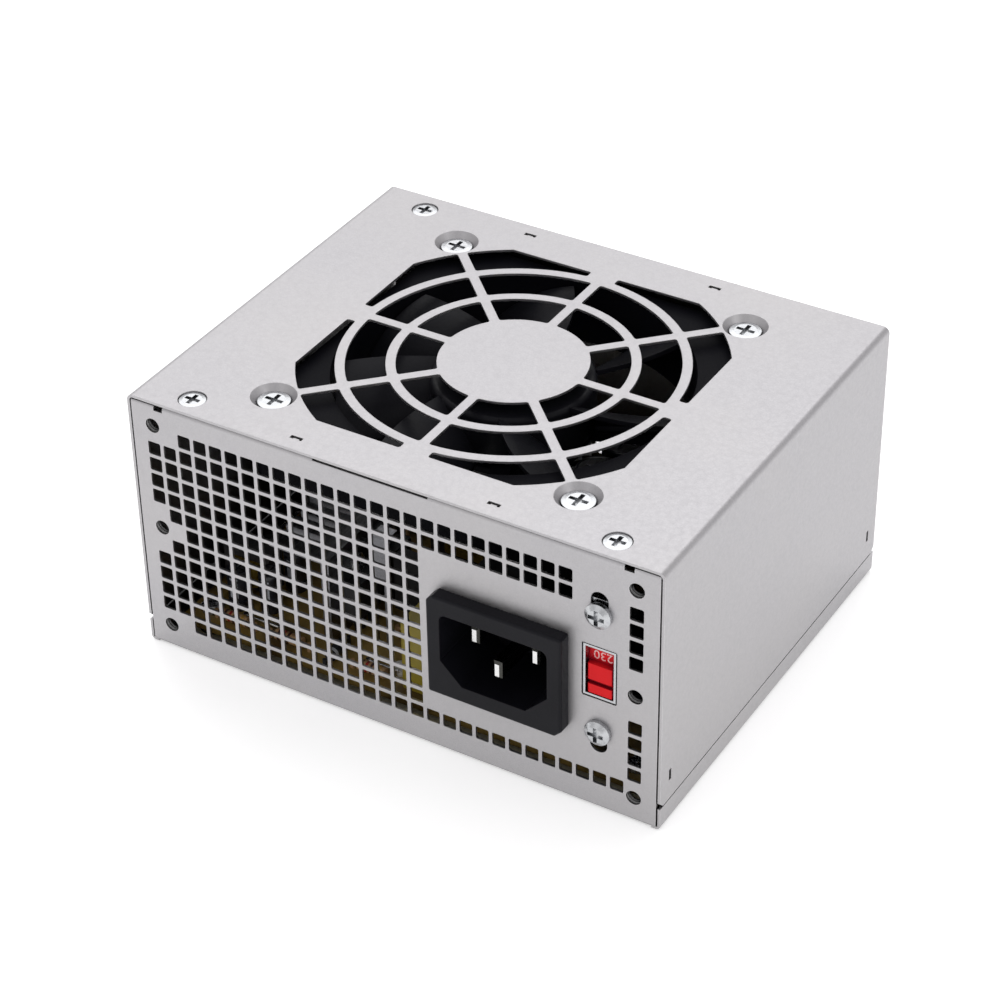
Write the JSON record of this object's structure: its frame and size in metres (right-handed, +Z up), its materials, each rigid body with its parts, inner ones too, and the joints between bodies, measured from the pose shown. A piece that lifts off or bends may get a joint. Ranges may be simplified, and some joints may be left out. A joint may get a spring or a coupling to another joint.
{
  "type": "power supply unit",
  "caption": "Small steel-cased computer power supply with a stamped top fan grille, a front grid, a mains inlet and a voltage selector switch.",
  "frame": {"origin": "centre of the underside of the case", "axes": "+Z up through the fan grille, -Y out of the front panel with the mains inlet, +X to the right seen from the front"},
  "size_m": [0.125, 0.1046, 0.0635],
  "materials": {
    "galvanised_steel": "matte zinc-coated sheet, fine grain",
    "screw_steel": "bright zinc-plated screws",
    "black_plastic": "moulded black, fine texture",
    "pin_metal": "nickel-plated blades",
    "red_plastic": "moulded red",
    "fan_plastic": "moulded charcoal",
    "rotor_plastic": "moulded charcoal, slight sheen",
    "brass_metal": "turned brass",
    "steel_shaft": "ground steel",
    "magnet": "bonded ferrite strip",
    "lamination": "stacked silicon steel",
    "copper_wire": "enamelled copper",
    "green_board": "green solder mask",
    "brown_board": "tan phenolic laminate",
    "insulation": "cream film",
    "aluminium_fin": "mill finish",
    "component_black": "moulded epoxy",
    "ferrite": "sintered ferrite",
    "yellow_tape": "yellow polyester tape",
    "yellow_plastic": "moulded yellow",
    "inductor_core": "painted iron powder",
    "capacitor_sleeve": "shrink sleeve",
    "blue_ceramic": "dipped blue",
    "green_ceramic": "dipped dark green",
    "fuse_glass": "clear glass tube",
    "white_plastic": "moulded natural nylon",
    "grey_lead": "insulated wire",
    "resistor_coat": "lacquered tan body",
    "tinned_wire": "tinned copper"
  },
  "bodies": {
    "chassis": {"cover": "galvanised_steel", "base_tray": "galvanised_steel", "fan_screws": "screw_steel", "cover_screws": "screw_steel", "selector_screws": "screw_steel", "board_screws": "screw_steel", "inlet_housing": "black_plastic", "inlet_pin_line": "pin_metal", "inlet_pin_neutral": "pin_metal", "inlet_pin_earth": "pin_metal", "selector_bracket": "screw_steel", "selector_housing": "black_plastic", "selector_terminals": "brass_metal", "fan_frame": "fan_plastic", "fan_bearing": "brass_metal", "fan_driver_board": "green_board", "fan_stator_core": "lamination", "fan_coils": "copper_wire", "insulation_sheet": "insulation", "board_standoffs": "brass_metal", "circuit_board": "brown_board", "primary_heatsink": "aluminium_fin", "switching_transistors": "component_black", "secondary_heatsink": "aluminium_fin", "output_rectifiers": "component_black", "heatsink_screws": "screw_steel", "main_transformer_core": "ferrite", "main_transformer_winding": "yellow_tape", "standby_transformer_core": "ferrite", "standby_transformer_winding": "yellow_tape", "driver_transformer_core": "ferrite", "driver_transformer_winding": "yellow_tape", "common_mode_choke_core": "ferrite", "common_mode_choke_winding": "copper_wire", "output_inductor_core": "inductor_core", "output_inductor_winding": "copper_wire", "bulk_capacitors": "capacitor_sleeve", "output_capacitors": "capacitor_sleeve", "x_capacitor": "yellow_plastic", "y_capacitors": "blue_ceramic", "thermistor": "green_ceramic", "fuse": "fuse_glass", "bridge_rectifier": "component_black", "fan_socket": "white_plastic", "inlet_leads": "grey_lead", "fan_lead": "grey_lead", "standby_heatsink": "aluminium_fin", "small_resistors": "resistor_coat", "small_diodes": "component_black", "small_capacitors": "capacitor_sleeve", "jumper_wires": "tinned_wire", "cable_grommet": "black_plastic"},
    "rotor": {"fan_rotor": "rotor_plastic", "fan_shaft": "steel_shaft", "fan_retaining_clip": "white_plastic", "fan_yoke": "lamination", "fan_magnet_ring": "magnet"},
    "slider": {"selector_slider": "red_plastic"}
  },
  "joints": [
    {"name": "fan_spin", "type": "hinge", "parent": "chassis", "child": "rotor", "pos_m": [0, 0, 0.055], "axis": [0, 0, 1], "continuous": true},
    {"name": "selector_slide", "type": "slide", "parent": "chassis", "child": "slider", "axis": [0, 0, 1], "range_m": [0, 0.004]}
  ]
}
